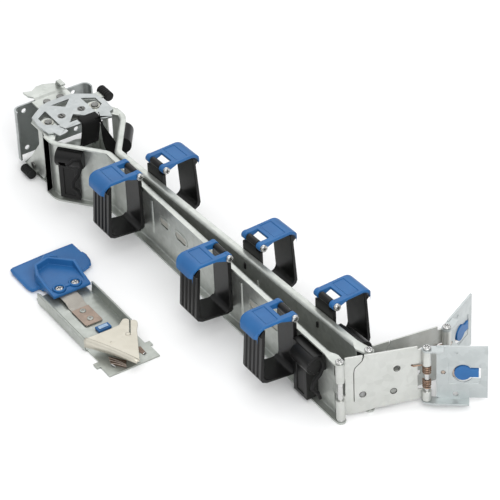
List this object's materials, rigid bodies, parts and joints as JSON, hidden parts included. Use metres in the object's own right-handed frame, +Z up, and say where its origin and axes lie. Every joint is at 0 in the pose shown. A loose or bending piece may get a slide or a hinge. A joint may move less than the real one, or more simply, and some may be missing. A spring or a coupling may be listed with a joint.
{
  "type": "server cable management arm",
  "caption": "Folded server rack cable management arm with two pivoting steel channels, lidded cable baskets, an elbow, hinged rail tabs and a separate rail bracket",
  "frame": {"origin": "Middle of the plan of the folded arm and its bracket, on the plane that they rest on", "axes": "X from the elbow to the rail tabs, Y from the front arm to the rear arm, Z up along the hinge pins"},
  "size_m": [0.4768, 0.234, 0.0677],
  "materials": {
    "galvanised": "satin",
    "zinc": "satin",
    "dark_zinc": "satin",
    "steel": "satin",
    "spring": "satin",
    "beige_zinc": "satin",
    "black_plastic": "matte",
    "rubber": "matte",
    "blue_plastic": "satin"
  },
  "bodies": {
    "root": {"front_arm": "galvanised", "front_basket_1": "black_plastic", "front_basket_2": "black_plastic", "front_basket_3": "black_plastic", "front_lid_pins": "steel", "front_elbow_clip": "black_plastic", "front_link_clip": "black_plastic", "front_link_pin": "steel", "support_tray": "galvanised", "support_end_cover": "beige_zinc", "support_foot_plate": "galvanised", "support_blue_clip": "blue_plastic"},
    "elbow": {"elbow_frame": "galvanised", "elbow_bottom_plate": "galvanised", "elbow_top_plate": "zinc", "elbow_back_bracket": "dark_zinc", "elbow_pins": "dark_zinc", "elbow_washers": "beige_zinc", "elbow_screws": "steel", "upper_buffer": "rubber", "lower_buffer": "rubber", "elbow_strap": "black_plastic"},
    "rear_arm": {"rear_arm": "galvanised", "rear_basket_1": "black_plastic", "rear_basket_2": "black_plastic", "rear_basket_3": "black_plastic", "rear_lid_pins": "steel", "rear_elbow_clip": "black_plastic", "rear_link_clip": "black_plastic", "rear_link_pin": "steel"},
    "front_link": {"front_link": "zinc", "front_tab_springs": "spring"},
    "rear_link": {"rear_link": "zinc", "rear_tab_springs": "spring"},
    "front_tab": {"front_rail_tab": "zinc", "front_tab_pin": "steel"},
    "rear_tab": {"rear_rail_tab": "zinc", "rear_tab_pin": "steel"},
    "front_latch": {"front_latch_leaf": "spring", "front_latch_button": "blue_plastic"},
    "rear_latch": {"rear_latch_leaf": "spring", "rear_latch_button": "blue_plastic"},
    "support_latch": {"support_latch": "blue_plastic", "support_screws": "steel", "support_leaf_spring": "spring", "support_rivets": "steel"},
    "front_lid_1": {"front_lid_1": "blue_plastic"},
    "rear_lid_1": {"rear_lid_1": "blue_plastic"},
    "front_lid_2": {"front_lid_2": "blue_plastic"},
    "rear_lid_2": {"rear_lid_2": "blue_plastic"},
    "front_lid_3": {"front_lid_3": "blue_plastic"},
    "rear_lid_3": {"rear_lid_3": "blue_plastic"}
  },
  "joints": [
    {"name": "front_elbow_hinge", "type": "hinge", "parent": "root", "child": "elbow", "pos_m": [-0.18644, -0.02348, 0.0265], "axis": [0, 0, 1], "range_deg": [0, 72]},
    {"name": "rear_elbow_hinge", "type": "hinge", "parent": "elbow", "child": "rear_arm", "pos_m": [-0.18644, 0.01852, 0.0265], "axis": [0, 0, 1], "range_deg": [0, 63]},
    {"name": "front_link_hinge", "type": "hinge", "parent": "root", "child": "front_link", "pos_m": [0.19356, -0.00498, 0.0265], "axis": [0, 0, 1], "range_deg": [-70, 0]},
    {"name": "rear_link_hinge", "type": "hinge", "parent": "rear_arm", "child": "rear_link", "pos_m": [0.19401, 0.01927, 0.0265], "axis": [0, 0, 1], "range_deg": [-2, 30]},
    {"name": "front_tab_hinge", "type": "hinge", "parent": "front_link", "child": "front_tab", "pos_m": [0.21428, 0.05451, 0.0265], "axis": [0, 0, 1], "range_deg": [-80, 25], "stiffness_Nm_per_rad": 0.02},
    {"name": "rear_tab_hinge", "type": "hinge", "parent": "rear_link", "child": "rear_tab", "pos_m": [0.20303, 0.0796, 0.0265], "axis": [0, 0, 1], "range_deg": [-20, 45], "stiffness_Nm_per_rad": 0.02},
    {"name": "front_latch_flex", "type": "hinge", "parent": "front_tab", "child": "front_latch", "pos_m": [0.21668, 0.06333, 0.0293], "axis": [0, 0, 1], "range_deg": [0, 6], "stiffness_Nm_per_rad": 1.5},
    {"name": "rear_latch_flex", "type": "hinge", "parent": "rear_tab", "child": "rear_latch", "pos_m": [0.19618, 0.08565, 0.0293], "axis": [0, 0, 1], "range_deg": [0, 6], "stiffness_Nm_per_rad": 1.5},
    {"name": "front_lid_hinge_1", "type": "hinge", "parent": "root", "child": "front_lid_1", "pos_m": [-0.07924, -0.01068, 0.0645], "axis": [-1, 0, 0], "range_deg": [0, 95]},
    {"name": "front_lid_hinge_2", "type": "hinge", "parent": "root", "child": "front_lid_2", "pos_m": [0.04726, -0.01068, 0.0645], "axis": [-1, 0, 0], "range_deg": [0, 95]},
    {"name": "front_lid_hinge_3", "type": "hinge", "parent": "root", "child": "front_lid_3", "pos_m": [0.13376, -0.01068, 0.0645], "axis": [-1, 0, 0], "range_deg": [0, 95]},
    {"name": "rear_lid_hinge_1", "type": "hinge", "parent": "rear_arm", "child": "rear_lid_1", "pos_m": [-0.07472, 0.00926, 0.0645], "axis": [0.9987, 0.0506, 0], "range_deg": [0, 95]},
    {"name": "rear_lid_hinge_2", "type": "hinge", "parent": "rear_arm", "child": "rear_lid_2", "pos_m": [0.05111, 0.01563, 0.0645], "axis": [0.9987, 0.0506, 0], "range_deg": [0, 95]},
    {"name": "rear_lid_hinge_3", "type": "hinge", "parent": "rear_arm", "child": "rear_lid_3", "pos_m": [0.1399, 0.02013, 0.0645], "axis": [0.9987, 0.0506, 0], "range_deg": [0, 95]},
    {"name": "support_latch_flex", "type": "hinge", "parent": "root", "child": "support_latch", "pos_m": [-0.00344, -0.09298, 0.0012], "axis": [0, 1, 0], "range_deg": [0, 4], "stiffness_Nm_per_rad": 20}
  ]
}
